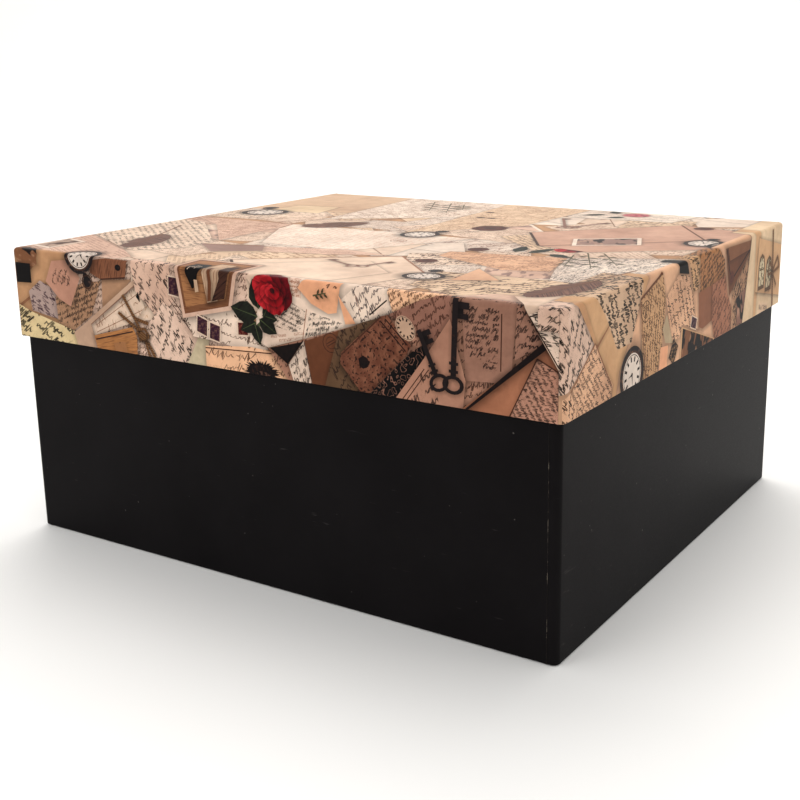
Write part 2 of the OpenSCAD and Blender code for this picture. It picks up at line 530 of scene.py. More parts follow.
def add_ring(centre, radius, width, tone, style="plain", flat=1.0, turn=0.0, **settings):
    """A ring: an outline with a hole in it."""
    loops = [disc(centre, size, flat, turn) for size in (radius, radius - width)]
    ITEMS.append(Item(loops, style, tone, "ink", **settings))


def top(points):
    """Places on the lid's top: x and y."""
    return points


def front(points):
    """Places on the front skirt: x, and the depth below the lid's top edge."""
    return [(x, -(FLAT_Y + EDGE_RUN) - d) for x, d in points]


def right(points):
    """Places on the right skirt: y, and the depth below the lid's top edge."""
    return [(FLAT_X + EDGE_RUN + d, y) for y, d in points]


def turned(points, centre, degrees):
    c, s = math.cos(math.radians(degrees)), math.sin(math.radians(degrees))
    x, y = centre
    return [(x + c * (a - x) - s * (b - y), y + s * (a - x) + c * (b - y)) for a, b in points]


def disc(centre, radius, flat=1.0, turn=0.0, count=0):
    count = count or max(14, min(36, int(radius * 3.2)))
    steps = [2 * math.pi * i / count for i in range(count)]
    x, y = centre
    loop = [(x + radius * math.cos(a), y + radius * flat * math.sin(a)) for a in steps]
    return turned(loop, centre, turn)


def oblong(centre, width, height, turn=0.0):
    x, y = centre
    w, h = width / 2, height / 2
    loop = [(x - w, y + h), (x + w, y + h), (x + w, y - h), (x - w, y - h)]
    return turned(loop, centre, turn)


def direction(a, b):
    """The ends as arrays, the run between them, and unit vectors along it and to its left."""
    a, b = np.array(a, float), np.array(b, float)
    along = (b - a) / max(np.hypot(*(b - a)), TINY)
    return a, b, b - a, along, np.array([-along[1], along[0]])


def strip(a, b, width, end_width=None):
    """A straight band from a to b."""
    end_width = width if end_width is None else end_width
    a, b, _, _, side = direction(a, b)
    return [tuple(a + side * width / 2), tuple(b + side * end_width / 2),
            tuple(b - side * end_width / 2), tuple(a - side * width / 2)]


def inward(points, by):
    """The outline of a four-sided sheet drawn in towards its centre by a margin."""
    middle = np.mean(points, axis=0)
    size = max(np.hypot(*(np.array(p) - middle)) for p in points)
    return [tuple(middle + (np.array(p) - middle) * (1 - by / size * 1.4)) for p in points]


def blob(centre, radius, seed, flat=1.0, turn=0.0, wobble=0.12):
    """A round thing with an uneven edge."""
    rng = random.Random(seed)
    x, y = centre
    loop = [(x + radius * (1 + rng.uniform(-wobble, wobble)) * math.cos(a),
             y + radius * flat * (1 + rng.uniform(-wobble, wobble)) * math.sin(a))
            for a in (2 * math.pi * i / 18 for i in range(18))]
    return turned(loop, centre, turn)


# ---------------------------------------------------------------- things drawn on the papers
# Each takes the places that a row of the tables below gives, then the row's words.


def draw_dial(points, radius, flat=1.0, turn=0.0, tone="dial"):
    """A round dial with twelve ticks inside a fine ring."""
    centre = x, y = points[0]
    add(disc(centre, radius, flat, turn), "plain", tone, "grey", shadow=0.0)
    add_ring(centre, radius * 0.93, radius * 0.04, "ink", flat=flat, turn=turn, shadow=0.0)
    for hour in range(12):
        angle = math.radians(30 * hour)
        ends = [(x + radius * r * math.cos(angle), y + radius * r * flat * math.sin(angle))
                for r in (0.60, 0.84)]
        add(strip(*turned(ends, centre, turn), radius * 0.13), "plain", "ink", "ink", shadow=0.0)


def draw_watch(points, radius, flat, turn):
    """A pocket watch: crown, bow, bezel, dial and two hands."""
    centre = x, y = points[0]
    face = radius * 0.76
    crown, bow = turned([(x, y + radius * 1.12), (x, y + radius * 1.42)], centre, turn)
    add(disc(crown, radius * 0.16, count=12), "metal", "steel", "tan", shadow=0.3)
    add(disc(bow, radius * 0.27, count=16), "metal", "steel", "dusk", shadow=0.4, reach=2.0)
    add_ring(bow, radius * 0.36, radius * 0.07, "umber", "metal", shadow=0.2, reach=1.0)
    add(disc(centre, radius, flat, turn), "metal", "steel", "dusk", shadow=0.65, reach=5.0)
    add(disc(centre, radius * 0.84, flat, turn), "metal", "umber", "tan", shadow=0.0)
    draw_dial([centre], face, flat, turn)
    for degrees, length in ((35, 0.42), (118, 0.62)):
        a = math.radians(degrees)
        tip = (x + face * length * math.cos(a), y + face * length * flat * math.sin(a))
        add(strip(centre, turned([tip], centre, turn)[0], radius * 0.09, 0.1), "plain", "ink",
            "ink", shadow=0.0)
    add(disc(centre, radius * 0.07, count=10), "plain", "ink", "ink", shadow=0.0)


def draw_key(points, width, ring, tone="steel"):
    """An old key from its bit to its bow: a notched bit, a shaft, two collars and a ringed bow."""
    a, b, _, run, side = direction(*points)
    turn = math.degrees(math.atan2(run[1], run[0])) + 90
    for start, height, length in ((1.9, 2.6, 1.5), (1.1, 1.1, 2.5), (2.8, 0.9, 2.4)):
        foot = a + run * width * start
        add(strip(foot, foot + side * width * length, width * height), "metal", tone, "umber",
            shadow=0.4, reach=2.0)
    add(strip(a, b, width), "metal", tone, "umber", shadow=0.5, reach=2.6)
    for back in (0.7, 2.0):
        add(strip(b - run * width * (back + 0.5), b - run * width * back, width * 1.7), "metal", tone,
            "sepia", shadow=0.2)
    add_ring(tuple(b + run * ring * 0.7), ring * 1.15, ring * 0.42, tone, "metal", flat=0.78,
             turn=turn, shadow=0.4, reach=1.8)


def draw_feather(points, width):
    """A feather from its foot past the first barb to its tip: ragged vanes, then the quill."""
    foot = np.array(points[0], float)
    start, tip, run, along, side = direction(*points[1:])
    upper = [(0.0, 0.05), (0.12, 0.30), (0.34, 0.47), (0.60, 0.50), (0.82, 0.40), (0.95, 0.18)]
    lower = [(0.97, 0.12), (0.90, 0.30), (0.72, 0.34), (0.66, 0.26), (0.62, 0.38),
             (0.36, 0.36), (0.30, 0.26), (0.14, 0.20), (0.0, 0.04)]
    outline = [tuple(start + run * s + side * width * w) for s, w in upper] + [tuple(tip)]
    outline += [tuple(start + run * s - side * width * w) for s, w in lower]
    vane = add(outline, "feather", "umber", "dusk", shadow=0.4, reach=3.0)
    vane.origin, vane.along, vane.down = start, along, -side
    add(strip(foot, tip - run * 0.08, 1.4, 0.4), "plain", "leather", "umber", shadow=0.2, reach=0.8)


def draw_leaf(points, width, tone="green"):
    """A leaf and its midrib, from foot to tip."""
    foot, tip, run, _, side = direction(*points)
    shape = [(0.0, 0.0), (0.18, 0.34), (0.42, 0.5), (0.7, 0.36), (1.0, 0.0)]
    outline = [tuple(foot + run * s + side * width * w) for s, w in shape]
    outline += [tuple(foot + run * s - side * width * w) for s, w in shape[-2:0:-1]]
    add(outline, "petal", tone, "night", shadow=0.35, reach=1.6)
    add(strip(foot, foot + run * 0.92, 0.5, 0.15), "plain", "leaf_light", "green", shadow=0.0)


ROSES = {"red": (("bright_red", "red", "crimson"), "deep_red"), "pink": (("pink", "pink"), "red")}


def draw_rose(points, size, flat, turn, kind="red"):
    """A rose: petals in three rounds and a tight heart, pale low down and dark at the top."""
    centre = x, y = points[0]
    tones, deep = ROSES[kind]
    rounds = ((0.60, 0.52, 6), (0.34, 0.42, 5), (0.14, 0.30, 3))
    for number, (round_radius, petal, count) in enumerate(rounds):
        for i in range(count):
            a = 2 * math.pi * (i + 0.37 * number) / count
            at = (x + size * round_radius * math.cos(a), y + size * flat * round_radius * math.sin(a))
            height = 0.5 + 0.5 * math.sin(a + math.radians(turn + 50))
            tone = tones[min(int(height * len(tones)), len(tones) - 1)]
            add(turned(blob(at, size * petal, i + number * 7, 0.82, math.degrees(a) + 90, 0.05),
                       centre, turn), "petal", tone, deep, shadow=0.5, reach=size * 0.2)
    add(disc(centre, size * 0.13, flat, turn, 12), "petal", deep, "night", shadow=0.4, reach=0.8)


def draw_postage(points, tone, picture="plum"):
    """A postage stamp: a pale edge with bites out of it round a small dark picture."""
    edge = []
    for a, b in zip(points, points[1:] + points[:1]):
        a, b, run, _, out = direction(a, b)
        count = max(2, int(np.hypot(*run) / 1.5))
        for i in range(count):
            edge.append(tuple(a + run * i / count))
            edge.append(tuple(a + run * (i + 0.5) / count - out * 0.35))
    add(edge, "plain", "pale", "grey", shadow=0.3, reach=1.2)
    add(inward(points, 0.9), "stamp", picture, tone, shadow=0.0)


def draw_postmark(points, radius, tone="dark_letter", turn=0.0):
    """Two rings with two bars across the middle."""
    centre = x, y = points[0]
    add_ring(centre, radius, radius * 0.09, tone, shadow=0.0)
    add_ring(centre, radius * 0.62, radius * 0.07, tone, shadow=0.0)
    for row in (-0.12, 0.12):
        ends = [(x - radius * 0.5, y + radius * row), (x + radius * 0.5, y + radius * row)]
        add(strip(*turned(ends, centre, turn), radius * 0.1), "plain", tone, tone, shadow=0.0)


def draw_picture(points, border, ground, mass, margin):
    """An old photograph with a pale border; only soft masses, no person and no place."""
    add(points, "plain", border, "grey", shadow=0.35, reach=2.4)
    add(inward(points, margin), "photo", ground, mass, shadow=0.0)


def draw_smudge(points, radius):
    """A furry black smear: short tapered strokes that run outward from a dark heart."""
    rng = random.Random(5)
    x, y = points[0]
    add(blob((x, y), radius * 0.72, 21, 0.5), "stamp", "night", "umber", shadow=0.5)
    for i in range(44):
        a = 2 * math.pi * i / 44 + rng.uniform(-0.06, 0.06)
        ends = [(x + radius * r * math.cos(a), y + radius * 0.56 * r * math.sin(a))
                for r in (0.55, rng.uniform(0.82, 1.06))]
        add(strip(*ends, 1.5, 0.15), "plain", "night", "umber", shadow=0.0)
    add(blob((x + 1, y - 1), radius * 0.34, 22, 0.3, 0, 0.2), "stamp", "black", "dusk", shadow=0.0)


def draw_twist(points, width):
    """Twine from place to place."""
    for a, b in zip(points, points[1:]):
        add(strip(a, b, width), "twine", "twine", "umber", shadow=0.5, reach=2.0)


def draw_line(points, tone, width, shadow=0.15):
    for a, b in zip(points, points[1:]):
        add(strip(a, b, width), "plain", tone, "ink", shadow=shadow, reach=0.8)


def draw_seal(points, radius):
    """A wax seal with a ring pressed into it."""
    centre = points[0]
    add(blob(centre, radius, int(radius * 9), wobble=0.06), "metal", "seal", "umber", shadow=0.4,
        reach=1.6)
    add_ring(centre, radius * 0.78, radius * 0.08, "umber", shadow=0.0)
    add(disc(centre, radius * 0.4, 0.7, 0.0, 10), "plain", "umber", "ink", shadow=0.0)


def draw_sprig(points, leaves, size, tone="moss"):
    """A thin stem with small leaves to both sides."""
    foot, tip, run, along, side = direction(*points)
    add(strip(foot, tip, 0.9, 0.4), "plain", "moss", "umber", shadow=0.1, reach=0.6)
    for i in range(leaves):
        at = foot + run * (0.18 + 0.8 * i / leaves)
        way = side if i % 2 else -side
        draw_leaf((at, at + (along * 0.7 + way) * size), size * 0.5, tone)


def draw_window(points):
    """An arched window on the right skirt: a frame, pressed flowers behind it and two bars."""
    x, y = points[0]
    arch = [(12, -5.8), (-2, -5.8), (-7.6, -4), (-9.8, 0), (-7.6, 4), (-2, 5.8), (12, 5.8)]
    add([(x + a, y + b) for a, b in arch], "plain", "olive", "umber", shadow=0.4, reach=1.6)
    add([(x + a * 0.8, y + b * 0.76) for a, b in arch], "floret", "pale_sage", "moss", shadow=0.0)
    draw_line(((x - 8, y), (x + 9, y)), "olive", 0.7, 0.0)
    draw_line(((x, y - 4), (x, y + 4)), "olive", 0.7, 0.0)


def draw_ring(points, radius, width, flat, tone, style):
    add_ring(points[0], radius, width, tone, style, flat=flat)


# What may be strewn: the papers' tones, the inks, and a picture's ground and masses. The set for the lid's
# top has pale papers and faint inks: partly their own colours, partly painted glare, the haze that the
# overhead light leaves on the satin top.
STREWN = {
    "bright": (("white", "pale", "rosy", "pale", "white", "cream", "pale"),
               ("umber", "dusk", "shade"), "rosy", "mauve"),
    "mixed": (("cream", "peach", "rosy", "tan", "honey", "kraft", "yellow", "mauve", "white", "dark_peach"),
              ("brown_ink", "ink", "shade"), "sepia", "umber"),
}
HANDS = ((2.6, 0.4), (3.2, 0.5), (4.2, 0.6), (6.0, 0.9))   # pitch and weight of the writing


def draw_scatter(points, step, seed, kind="mixed"):
    """Letters, cards and pictures strewn over an area, so that no bare ground is left."""
    (x0, y0), (x1, y1) = points
    tones, inks, ground, mass = STREWN[kind]
    rng = random.Random(seed)
    columns, rows = (max(1, round(size / step)) for size in (x1 - x0, y1 - y0))
    cells = [(i, j) for i in range(columns) for j in range(rows)]
    rng.shuffle(cells)
    for i, j in cells:
        x = x0 + (i + 0.5 + rng.uniform(-0.3, 0.3)) * (x1 - x0) / columns
        y = y0 + (j + 0.5 + rng.uniform(-0.3, 0.3)) * (y1 - y0) / rows
        width, height = step * rng.uniform(1.0, 1.7), step * rng.uniform(0.8, 1.2)
        shape = oblong((x, y), width, height, rng.uniform(-50, 50))
        draw = rng.random()
        tone = rng.choice(tones)
        if draw < 0.66:
            ink = rng.choice(inks)
            pitch, weight = rng.choice(HANDS)
            add(shape, "written", tone, ink, pitch=pitch, weight=weight)
        elif draw < 0.78:
            add(shape, "typed", tone, "dusk", pitch=2.6)
        elif draw < 0.84:
            draw_picture(shape, "white", ground, mass, 2.2)
        else:
            add(shape, "plain", tone, "shade")
            add(strip(shape[0], shape[2], 0.6), "plain", "shade", "umber", shadow=0.2, reach=1.0)


# ---------------------------------------------------------------- what lies where
# A row is one thing, and later rows lie on top. It says what, its words, a colon and its places.
# A paper's words are its pattern, tone and ink; then, where they aren't the usual ones, the
# writing's pitch p, weight w and turn t, and the shadow's depth s and reach r; and a shape such
# as blob=13/3 for a paper that isn't a polygon of its places. The other words go to draw_...

SETTINGS = {"p": "pitch", "w": "weight", "t": "turn", "s": "shadow", "r": "reach"}
SHAPES = {"blob": blob, "oblong": oblong, "disc": disc, "strip": strip}
DRAWINGS = {
    "dial": draw_dial, "watch": draw_watch, "key": draw_key, "feather": draw_feather,
    "leaf": draw_leaf, "rose": draw_rose, "postage": draw_postage, "postmark": draw_postmark,
    "picture": draw_picture, "smudge": draw_smudge, "twist": draw_twist, "line": draw_line,
    "seal": draw_seal, "sprig": draw_sprig, "window": draw_window, "ring": draw_ring,
    "scatter": draw_scatter,
}


def value(word):
    """A word of a row: a number, or else a name."""
    if not word.lstrip("-")[0].isdigit():
        return word
    number = float(word)
    return int(number) if number.is_integer() else number


def lay(face, rows):
    """Lays a table's rows on one face of the lid."""
    for row in rows.strip().splitlines():
        words, spots = row.split(":")
        kind, *words = words.split()
        points = face([tuple(map(float, spot.split(","))) for spot in spots.split()])
        if words and "=" in words[-1]:
            shape, sizes = words.pop().split("=")
            points = SHAPES[shape](*points, *map(value, sizes.split("/")))
        if kind in DRAWINGS:
            DRAWINGS[kind](points, *map(value, words))
        else:
            tone, ink, *settings = words
            add(points, kind, tone, ink, **{SETTINGS[w[0]]: float(w[1:]) for w in settings})


# The whole sheet's ground, and the back and left skirts, which the picture hides.
add(WHOLE, "plain", "tan", "kraft", shadow=0.0)
lay(top, """
scatter 30 11 : -205,146 205,225
scatter 30 12 : -250,-160 -170,160
scatter 28 13 : -205,-225 205,-200
scatter 28 14 : 222,-160 250,160
watch 15 1 20 : -60,181
rose 12 0.8 0 : 20,178
leaf 8 : 30,172 46,166
leaf 8 : 10,186 -6,194
key 2.5 5 : 84,160 108,190
feather 18 : -150,160 -140,166 -96,196
postage mauve plum oblong=14/11/12 : 130,178
postmark 8 : 62,190
seal 7 : 158,186
watch 15 1 110 : -206,40
rose 12 0.8 90 : -200,-40
leaf 8 : -200,-52 -212,-66
key 2.5 5 : -188,92 -214,114
postage dusk plum oblong=14/11/70 : -205,-90
postmark 8 : -196,-122
""")

# The lid's top, roughly from the left end to the right, the lowest papers first. Its papers are kept pale:
# partly their own colours, partly painted glare from the light overhead.
lay(top, """
scatter 40 21 bright : -175,-152 175,152
plain linen peach p3 w1 : -178,158 -60,158 -95,60 -178,50
plain sand sage p3.5 w0.8 : -150,78 -118,82 -112,50 -155,48
written white shade p4 w0.6 : -100,158 -20,158 -10,80 -90,30
written cream shade p3.4 w0.5 : -20,158 45,158 40,60 -10,0
typed white ink p3 w1 : 45,150 120,150 115,116 45,112
written rosy shade p4 w0.6 : -175,0 -92,0 -88,-75 -135,-25
written white rosy p4 w0.5 : -92,0 -88,-20 -60,-70 0,-70 40,0
typed rosy dusk p2.4 w0.8 : -50,-80 0,-67 30,-72 0,-85 -40,-95
typed rosy dusk p2.6 w1 : -175,-92 -118,-122 -90,-142 -95,-165 -175,-165
written pale ink p3.6 w0.55 t-28 : -175,-15 -150,-20 -88,-80 -88,-105 -105,-125 -118,-122 -175,-90
picture white grey umber 2.2 : -172,-111 -154,-116 -155,-143 -172,-140
feather 24 : -153,-38 -135,-72 -116,-120
plain mauve dusk : -89,-89 -52,-77 -40,-93 -64,-108
line kraft 1.2 0.15 : -86,-89 -53,-79
""")

# The large peach envelope by the front edge, and its two little keys.
lay(top, """
plain pale peach s0.45 r3.4 : -36,-123 38,-71 78,-110 60,-170 -5,-170
line clay 1 0.15 : -36,-123 38,-71 76,-108
line umber 1.6 0.15 : -36,-123 -8,-152
plain pale rosy : -20,-128 32,-92 60,-116 40,-160 5,-160
key 1.4 3.4 dusk : 9.5,-97.5 30,-107
key 1.4 3.4 dusk : 43,-88 38,-104
seal 6 : 57,-77
""")

# Letters on the right half.
lay(top, """
written peach shade p3.6 w0.6 : 52,-45 118,-35 128,-75 105,-82 54,-60
written white blue_ink p3 w0.55 : 118,-35 180,-5 180,-100 140,-100 128,-70
written cream brown_ink p4.6 w1 : 80,-100 140,-96 178,-100 178,-140 120,-150 86,-138
plain peach clay s0.5 : 93,-84 118,-108 97,-118
sprig 6 5 : 120,-15 142,-58
sprig 6 5 : 128,-12 150,-44
sprig 6 5 : 116,-24 128,-60
leaf 8 : 84,-30 80,-10
leaf 8 : 92,-30 98,-10
leaf 8 : 104,-28 118,-34
rose 8 0.8 0 : 107,-12
seal 6 : 62,-32
plain rosy umber : 118,-150 133,-137 147,-136 158,-150 150,-156
watch 11 0.8 10 : 80,-115
""")

# The middle: the largest watch, marks and a feather.
lay(top, """
feather 26 : -42,62 -54,28 -82,-6
plain umber ink s0.2 blob=3.2/30/0.6 : -10,107
plain umber ink s0.2 blob=3.2/37/0.6 : -3,82
plain umber ink s0.2 blob=3.2/45/0.6 : 5,82
postmark 5 : 6,-27
watch 12 1 -20 : 3,0
watch 16 0.85 30 : -148,38
""")

# The far half.
lay(top, """
sprig 7 6 : -75,140 -52,96
sprig 7 6 : -60,138 -36,92
sprig 7 6 : -48,136 -34,110
picture white grey ink 2.2 : 91,23 124,44 134,20 101,0
plain rose_tan mauve s0.5 r4 : 57,38 125,108 176,96 176,30 120,-12 85,-5
line umber 1.6 0.15 : 57,38 85,-5
line brown 1.2 0.15 : 125,108 160,55 85,-5
picture white mauve ink 2.2 : 91,27 124,48 134,24 101,4
seal 11 : 27,42
key 1.8 5 dusk : 46,104 64,70
key 1.8 5 dusk : 80,98 70,72
seal 6 : 142,100
watch 11 1.15 0 : 162,46
ring 9 2.2 1.3 steel metal : 175,42
leaf 8 : 62,134 50,122
leaf 8 : 68,140 60,150
leaf 8 : 78,128 70,118
rose 9 0.8 0 pink : 82,138
""")

# The front skirt from its left end to the framed picture.
lay(front, """
plain tan clay s0 : -180,-3 -118,-3 -118,60 -180,60
written blush brown_ink p3.6 w0.5 s0 : -130,-2 0,-2 0,55 -130,55
photo leather night s0.5 r4 blob=13/3/0.55/-14/0.3 : -165,2
plain black night : -172.5,8 -160,8 -160,19 -172.5,19.5
plain shade umber s0.3 : -178,36 -148,18 -147,19 -178,38
written lilac plum p5.4 w0.6 t-66 : -153,17 -139,22 -139.5,38 -161,35 -163,24
written fawn ink p2.9 w0.6 t-2 : -141,25 -118,15 -104,13 -113,33 -128,43 -140,40
plain rosy_clay dusk : -142,5 -130,3.5 -120,12.5 -129,29.5 -138,26 -148,17
written rosy_clay ink p3.8 w0.5 t60 s0 : -141,9 -127,9 -129,18 -143,18
written yellow black p6.4 w1.25 t-8 : -173,32 -163,35.5 -128,43 -124,51 -124,56 -178,56 -178,32
plain fawn dusk : -103,12 -80,10 -104,30
written pale tan p5 w0.4 : -80,6 -60,6 -66,30 -84,34
written pale shade p6.5 w0.35 t4 : -114,38 -77,13 -72,24 -80,33 -112,44
line shade 0.35 0 : -110,38 -76,17
line shade 0.35 0 : -110,42 -74,26
plain putty mauve s0.5 : -128,44 -116,36 -79,10 -77,12 -114,38 -110,51 -110,56 -124,56
line dusk 0.5 0.15 : -114,38 -77,12
wood wood leather s0.55 r3.6 : -112,44 -82,36 -79,41 -80,56 -109,56
line umber 0.8 0.15 : -111,46 -82,38.5
photo kraft umber s0.3 oblong=9/7/12 : -92,49
""")

# A brown wooden tag with its eyelet.
lay(front, """
wood rust umber s0.55 : -112,9 -110,2 -100,0 -83,0 -85,9.5 -104,12
metal night umber s0.2 disc=2.2/0.8/0/12 : -90,4.5
line umber 0.8 0.15 : -104,12 -85,9.5
""")

# Letters before the picture.
lay(front, """
written rosy ink p5.4 w0.6 t74 : -82,-6 -54,-6 -50,18 -62,30 -78,16
written blush black p5.6 w0.75 t20 : -70,33 -58,20 -40,32 -34,37 -44,56 -68,56
plain black ink s0 : -78,19 -76,16 -75,22
line umber 0.45 0 : -52,17 -37,33
line umber 0.45 0 : -54,18 -39,34
twist 1.9 : -88,19 -80,31 -70,33
twist 1.9 : -92,29 -78,37 -70,45 -65,54
twist 1.6 : -80,31 -74,40 -70,52
twist 1.6 : -79,37 -73,36 -70,40 -76,43 -79,38
twine twine ink s0.5 blob=2.8/5/0.8 : -75,40
plain pale_sage moss : -43,51 -34,35 -27,35 -30,56 -43,56
postage dusk plum : -54,5 -46,5.5 -46,17 -54.5,16
""")

# The framed picture, the red rose, the band of writing and the tag.
lay(front, """
written shell brown_ink p5.4 w0.5 t-20 : -44,26 -12,18.5 0,23 12,37 0,40 -20,37 -38,36
plain rosy shade s0.6 r4 : -52,-22 -8,-22 -6.5,0 -11,19.5 -44.5,27 -49,0
wood leather brown s0 : -49.5,-20 -10,-20 -8.8,0 -12.8,17.6 -43,24.6 -47,0
wood kraft brown s0 : -47.5,-18 -12,-18 -11,0 -14.8,14.5 -42,21 -45.4,0
wood linen leather s0.5 t90 : -29,-14 -19,-14 -18,4 -20,15.6 -27,17.2 -30,2
wood umber black s0.5 : -20,-8 -14,-12 -12,0 -15.4,14 -24,16.2 -18.4,4
plain brown night s0.4 : -27,-3 -25,-4 -23.6,7 -24.6,16 -27,16.6 -26,6
plain black night s0.5 : -42,-9 -32,-10 -29.6,-2 -33,3 -34,9 -37,11 -41.4,3
line pale 0.5 0 : -38.6,-4 -40,1
line pale 0.5 0 : -36.6,-6 -38,-1
line pale 0.5 0 : -34.4,-5 -35.8,0
plain linen umber s0.3 : -35.6,6 -33.4,6 -32.6,12 -35,12.6
postage dusk plum : -35,23.5 -27,26 -28,36 -36,33.5
postage dusk plum : -26.5,26.3 -18.5,28 -19.5,38 -27.5,36.3
written apricot brown_ink p6.8 w0.5 t-4 : -30,40 0,37 22,38 30,56 -30,56
line umber 0.6 0.15 : -30,41 22,38.5
smudge 11.5 : 7,49
plain shell rosy s0.5 r3.6 : 5,20 18,-3 118,-3 60,21 12,36 5,33
written blush clay p2.2 w0.5 s0 : 23,-2 33,-2 34,9 24,8
written shell black p2.5 w0.6 t6 s0 : 20,8 38,16 31,27 13,24
written shell black p2.5 w0.55 t20 s0 : 39,15 60,19 57,22 35,29
typed shell clay p2.4 s0 : 14,29 34,25 35,28 14,35
line clay 0.45 0 : 37,14 34,29
plain orange kraft s0.5 : 32,4 36,-2 58,-2 55,14 50,15 40,11
sprig 5 2.6 umber : 41,7 49,5
written orange ink p3.4 w0.7 s0 : 46,-1 56,0 55,5 47,3
written shell blue_ink p4.4 w0.5 t8 : 57,8 70,-3 98,-3 95,9 66,18
line ink 0.7 0 : 74,13 84,5
line dusk 0.4 0 : 66,4 69,12
written apricot brown_ink p2.8 w0.6 t-70 : 87,10 83,-3 120,-3 108,4
plain orange kraft : 56,5 66,18 60,19
postage clay deep_red : -8,24.5 0,24 0,32 -8,32.5
line leaf_light 1.1 0.4 : 14,14 9.5,22 4,27
line leaf_light 0.9 0.4 : 9,22 5,28 6.5,35
leaf 9.5 : 7,17 3.5,2
leaf 12 : 6,21 -11.5,17.5
leaf 8 : 5,24 -5.5,29
leaf 7.5 : 4,25 7,35
leaf 9 : 7,22 18,28.5
leaf 7 : 9,20 18.5,21.5
leaf 4.5 : 13,15 9.5,21
""")

# The red rose.
lay(front, """
rose 12.5 0.84 -24 : 16,7
petal red deep_red s0.4 r1.2 blob=1.8/5/0.8/-60 : 19.5,17.2
""")

# The darker end of the front skirt: notebook, dark strip, sepia letters and two keys.
lay(front, """
written dark_peach umber p4.2 w0.6 s0.6 r4 : 12,36.5 62,20 128,-3 180,-3 180,56 28,56
written shell ink p3.4 w0.6 t-60 : 34.5,30 39.5,56 29,56 24.5,43
plain black umber : 13,36 34,30.5 24,43
plain brown umber : 35,30 56,22.4 45,56 40,56
postmark 5 umber 30 : 51,29
written olive ink p5 w0.6 t-8 s0.5 : 45,56 56,22.4 84,12 72,56
written dark_letter umber p4.6 w0.6 t8 s0.5 : 84,12 100,4 118,-2 120,20 108,28 97,15
plain dusty umber s0.5 r3.6 : 124,0 152,0 149,36 126,37.5
written dusty ink p2.9 w0.62 t0 s0 : 125,3 143.5,3 142.5,28 126.5,26
written dusty ink p4 w0.6 s0 : 135,28 142,28 142,32 135,32
line umber 0.6 0 : 144.5,5 144,31
speckled dark_rust night s0.6 r4 : 57,33 80,13 84,12 97,25 94,30 73,51 68,51 56,38
line night 0.6 0 : 80,15 94,28
line night 0.6 0 : 83,14 95,25
line umber 0.7 0 : 57,34 80,13.5
plain night umber s0 blob=3.6/8/0.8/40/0.25 : 70,36
floral black dusk s0.6 : 73,51 97,28 103,24 109,28 88,51 84,56 68,56
plain dark_peach dark_letter s0.5 : 104,30 118,10 126,38 124,56 82,56 88,51
written dark_peach ink p6 w0.9 t-6 s0 : 98,40 108,30 112,52 94,54
line umber 0.5 0 : 91,52 104,35
line umber 0.5 0 : 93.4,52 106.4,35
dial 6.4 0.74 -50 putty : 94,17
written dusty ink p3.6 w0.65 s0.4 : 152,-2 160,-2 166,16 151,25
plain terracotta leather s0.5 r3 : 124,56 124,51 166,16 173,29 175,56
written rosy_clay ink p2.7 w0.65 t58 s0.5 : 152,44 162,23 175,29 175,49 170,56 147,56
line umber 0.6 0.2 : 147,54 162,23 175,29
plain night umber s0.65 r4 strip=1/3.2 : 125,52 168,15
""")

# The two keys.
lay(front, """
key 2.4 4.7 : 101,17 110.5,37.5
key 2.9 5 : 121,0 119.5,37
""")

# The letter that turns the near corner.
lay(front, """
plain pale tan s0.6 r3.6 : 143,-13.6 160,-23.6 190,-6 190,50 175,50 173,28 165,16 155,0
written shell black p5.2 w0.85 t-90 s0.3 : 158,4 172,-2 190,-2 190,46 175,46 174,28
line ink 0.6 0 : 158,5 172,-1
line ink 0.6 0 : 158,5 174,28
watch 11.5 1 -160 : -120,-1
""")

# The right skirt from the near corner to the clip.
lay(right, """
plain peach tan s0 : -160,-3 160,-3 160,56 -160,56
written blush black p5.2 w0.85 t66 : -162,-12 -134,-12 -138,-2 -122,20 -135,30 -148,37 -153,38 -162,38
plain honey kraft s0.5 : -138,-12 -60,-12 -60,-2 -70,9 -95,40 -100,56 -104,46 -121,21 -138,-2
plain tan shade s0.45 strip=5/2 : -139,-2 -121,22
written linen black p4.4 w1.1 t-66 s0 : -130,-22 -64,-22 -70,6 -82,29 -98,29 -112,10 -122,0
feather 22 : -52,-10.1 -86,-14.1 -137,-26.1
plain shade brown s0.4 strip=1.6/0.8 : -123,25 -108,16
written peach ink p2.9 w0.55 t96 s0.5 : -144,37 -122,21 -102,45 -108,56 -139,56
line shade 0.8 0.15 : -146,38 -122,21 -103,45
written peach ink p4 w0.6 t60 s0.3 : -152,40 -146,38 -138,50 -140,56 -152,56
written honey brown_ink p2.9 w0.6 t66 s0.5 : -72,10 -45,1 -40,15 -44,45 -55,56 -66,56 -70,25
line brown 1.4 0.15 : -72,10 -45,1
line shade 0.8 0.15 : -72,10 -62,56
postmark 5.5 brown_ink : -65,17
written peach ink p4.2 w0.6 t84 s0.5 : -40,15 -24,5.5 -9,8 -2,20 2,32 8,40 -16,33 -20,39 -30,39
plain sage moss : -43,30 -38,23 -29,40 -39,38
plain orange peach : -45,39 -35,40 -36,56 -47,56
stamp black tan : -28,38 -21,43 -27,52 -34,47
metal black steel s0.5 : -23,-10 -16,-10 -9,7.5 -23,5
watch 14 1 250 : -80,45
""")

